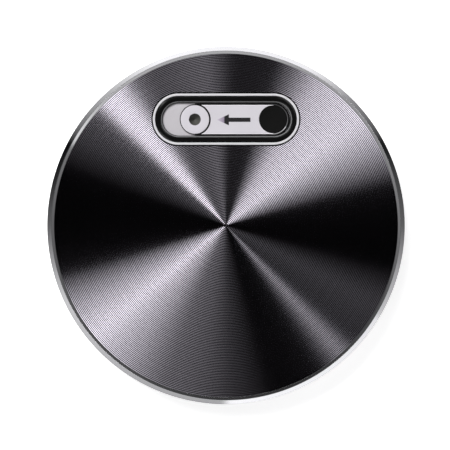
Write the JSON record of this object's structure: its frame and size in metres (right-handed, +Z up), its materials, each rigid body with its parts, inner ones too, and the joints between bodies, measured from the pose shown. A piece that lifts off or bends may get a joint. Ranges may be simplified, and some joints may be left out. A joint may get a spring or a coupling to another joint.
{
  "type": "portable cd player",
  "caption": "Slim round portable disc player with a spun metal hinged lid, a polished bevelled rim and a pill-shaped window with a sliding lid catch.",
  "frame": {"origin": "centre of the round body on the plane its feet stand on", "axes": "+Z up, +Y towards the lid's free edge with the catch, lid hinge at -Y and parallel to X"},
  "size_m": [0.136, 0.136, 0.022],
  "materials": {
    "black_plastic": "satin moulded",
    "silver_shell": "silver painted, satin",
    "spun_metal": "spun with fine concentric grooves",
    "polished_rim": "polished bevels",
    "gloss_black": "glossy",
    "track_grey": "smooth, pale grey",
    "slider_silver": "satin, faint violet tint",
    "arrow_ink": "printed",
    "rubber": "matt",
    "steel": "plain",
    "screw_steel": "plated",
    "spring_steel": "drawn wire",
    "motor_can": "zinc plated",
    "board_green": "solder mask",
    "chip_black": "moulded epoxy",
    "gear_white": "acetal",
    "brass": "turned",
    "lens": "coated",
    "die_cast": "die cast",
    "cell_wrap": "plain shrink wrap",
    "contact_plate": "nickel plated",
    "ball_steel": "polished"
  },
  "bodies": {
    "base": {"base_shell": "silver_shell", "side_band": "silver_shell", "upper_deck": "black_plastic", "rubber_feet": "rubber", "base_screws": "screw_steel", "latch_catches": "steel", "rim_bumpers": "rubber", "hinge_pin": "steel", "hinge_spring": "spring_steel", "battery_cells": "cell_wrap", "battery_contacts": "contact_plate", "main_board": "board_green", "board_screws": "screw_steel", "board_parts": "chip_black", "headphone_jack": "black_plastic", "dc_jack": "black_plastic", "hold_switch": "black_plastic", "button_board": "board_green", "button_switches": "chip_black", "drive_chassis": "steel", "chassis_dampers": "rubber", "guide_rods": "ball_steel", "spindle_motor": "motor_can", "sled_motor": "motor_can", "gear_axle": "steel"},
    "lid": {"rim_ring": "polished_rim", "lid_plate": "spun_metal", "window_bezel": "polished_rim", "switch_well": "gloss_black", "track_floor": "track_grey", "lid_frame": "black_plastic", "lid_liner": "black_plastic", "lid_screws": "screw_steel", "slider_spring": "spring_steel"},
    "slider": {"slider_sole": "black_plastic", "slider_plate": "slider_silver", "slider_arrow": "arrow_ink", "slider_cap": "slider_silver", "thumb_pad": "gloss_black", "latch_plate": "steel", "slider_screws": "screw_steel"},
    "turntable": {"turntable": "black_plastic", "disc_pad": "rubber", "chuck_balls": "ball_steel", "spindle_shaft": "steel"},
    "sled": {"pickup_sled": "die_cast", "pickup_rack": "gear_white", "pickup_board": "board_green"},
    "lens": {"lens_holder": "black_plastic", "objective_lens": "lens"},
    "drive_gear": {"drive_gear": "gear_white"},
    "motor_pinion": {"motor_pinion": "brass"},
    "battery_door": {"battery_door": "silver_shell"},
    "hold_knob": {"hold_knob": "polished_rim"},
    "previous_button": {"previous_button": "polished_rim"},
    "play_button": {"play_button": "polished_rim"},
    "next_button": {"next_button": "polished_rim"},
    "stop_button": {"stop_button": "polished_rim"},
    "volume_down_button": {"volume_down_button": "polished_rim"},
    "volume_up_button": {"volume_up_button": "polished_rim"}
  },
  "joints": [
    {"name": "lid_hinge", "type": "hinge", "parent": "base", "child": "lid", "pos_m": [0, -0.0644, 0.0154], "axis": [1, 0, 0], "range_deg": [0, 65]},
    {"name": "slider_slide", "type": "slide", "parent": "lid", "child": "slider", "axis": [-1, 0, 0], "range_m": [0, 0.0064], "stiffness_N_per_m": 100, "springref_m": -0.004, "deforming": ["slider_spring"]},
    {"name": "turntable_spin", "type": "hinge", "parent": "base", "child": "turntable", "pos_m": [0, 0, 0.0137], "axis": [0, 0, 1], "continuous": true},
    {"name": "sled_slide", "type": "slide", "parent": "base", "child": "sled", "axis": [0, 1, 0], "range_m": [0, 0.033]},
    {"name": "lens_focus", "type": "slide", "parent": "sled", "child": "lens", "axis": [0, 0, 1], "range_m": [-0.0003, 0.0003], "stiffness_N_per_m": 60},
    {"name": "drive_gear_spin", "type": "hinge", "parent": "base", "child": "drive_gear", "pos_m": [-0.023, 0.024, 0.0068], "axis": [0, 0, 1], "range_deg": [-2, 475]},
    {"name": "motor_pinion_spin", "type": "hinge", "parent": "base", "child": "motor_pinion", "pos_m": [-0.02979, 0.03079, 0.006], "axis": [0, 0, 1], "range_deg": [-1440, 10]},
    {"name": "battery_door_hinge", "type": "hinge", "parent": "base", "child": "battery_door", "pos_m": [0, -0.0166, 0.0019], "axis": [1, 0, 0], "range_deg": [0, 95]},
    {"name": "hold_slide", "type": "slide", "parent": "base", "child": "hold_knob", "axis": [-0.342, 0.9397, 0], "range_m": [0, 0.0024]},
    {"name": "previous_press", "type": "slide", "parent": "base", "child": "previous_button", "axis": [0.766, -0.6428, 0], "range_m": [0, 0.0005], "stiffness_N_per_m": 500, "springref_m": -0.0008},
    {"name": "play_press", "type": "slide", "parent": "base", "child": "play_button", "axis": [0.9135, -0.4067, 0], "range_m": [0, 0.0005], "stiffness_N_per_m": 500, "springref_m": -0.0008},
    {"name": "next_press", "type": "slide", "parent": "base", "child": "next_button", "axis": [0.9903, -0.1392, 0], "range_m": [0, 0.0005], "stiffness_N_per_m": 500, "springref_m": -0.0008},
    {"name": "stop_press", "type": "slide", "parent": "base", "child": "stop_button", "axis": [0.9903, 0.1392, 0], "range_m": [0, 0.0005], "stiffness_N_per_m": 500, "springref_m": -0.0008},
    {"name": "volume_down_press", "type": "slide", "parent": "base", "child": "volume_down_button", "axis": [0.9135, 0.4067, 0], "range_m": [0, 0.0005], "stiffness_N_per_m": 500, "springref_m": -0.0008},
    {"name": "volume_up_press", "type": "slide", "parent": "base", "child": "volume_up_button", "axis": [0.766, 0.6428, 0], "range_m": [0, 0.0005], "stiffness_N_per_m": 500, "springref_m": -0.0008}
  ],
  "couplings": [
    {"joint": "drive_gear_spin", "follows": "sled_slide", "rad_per_m": 250},
    {"joint": "motor_pinion_spin", "follows": "sled_slide", "rad_per_m": -750}
  ]
}
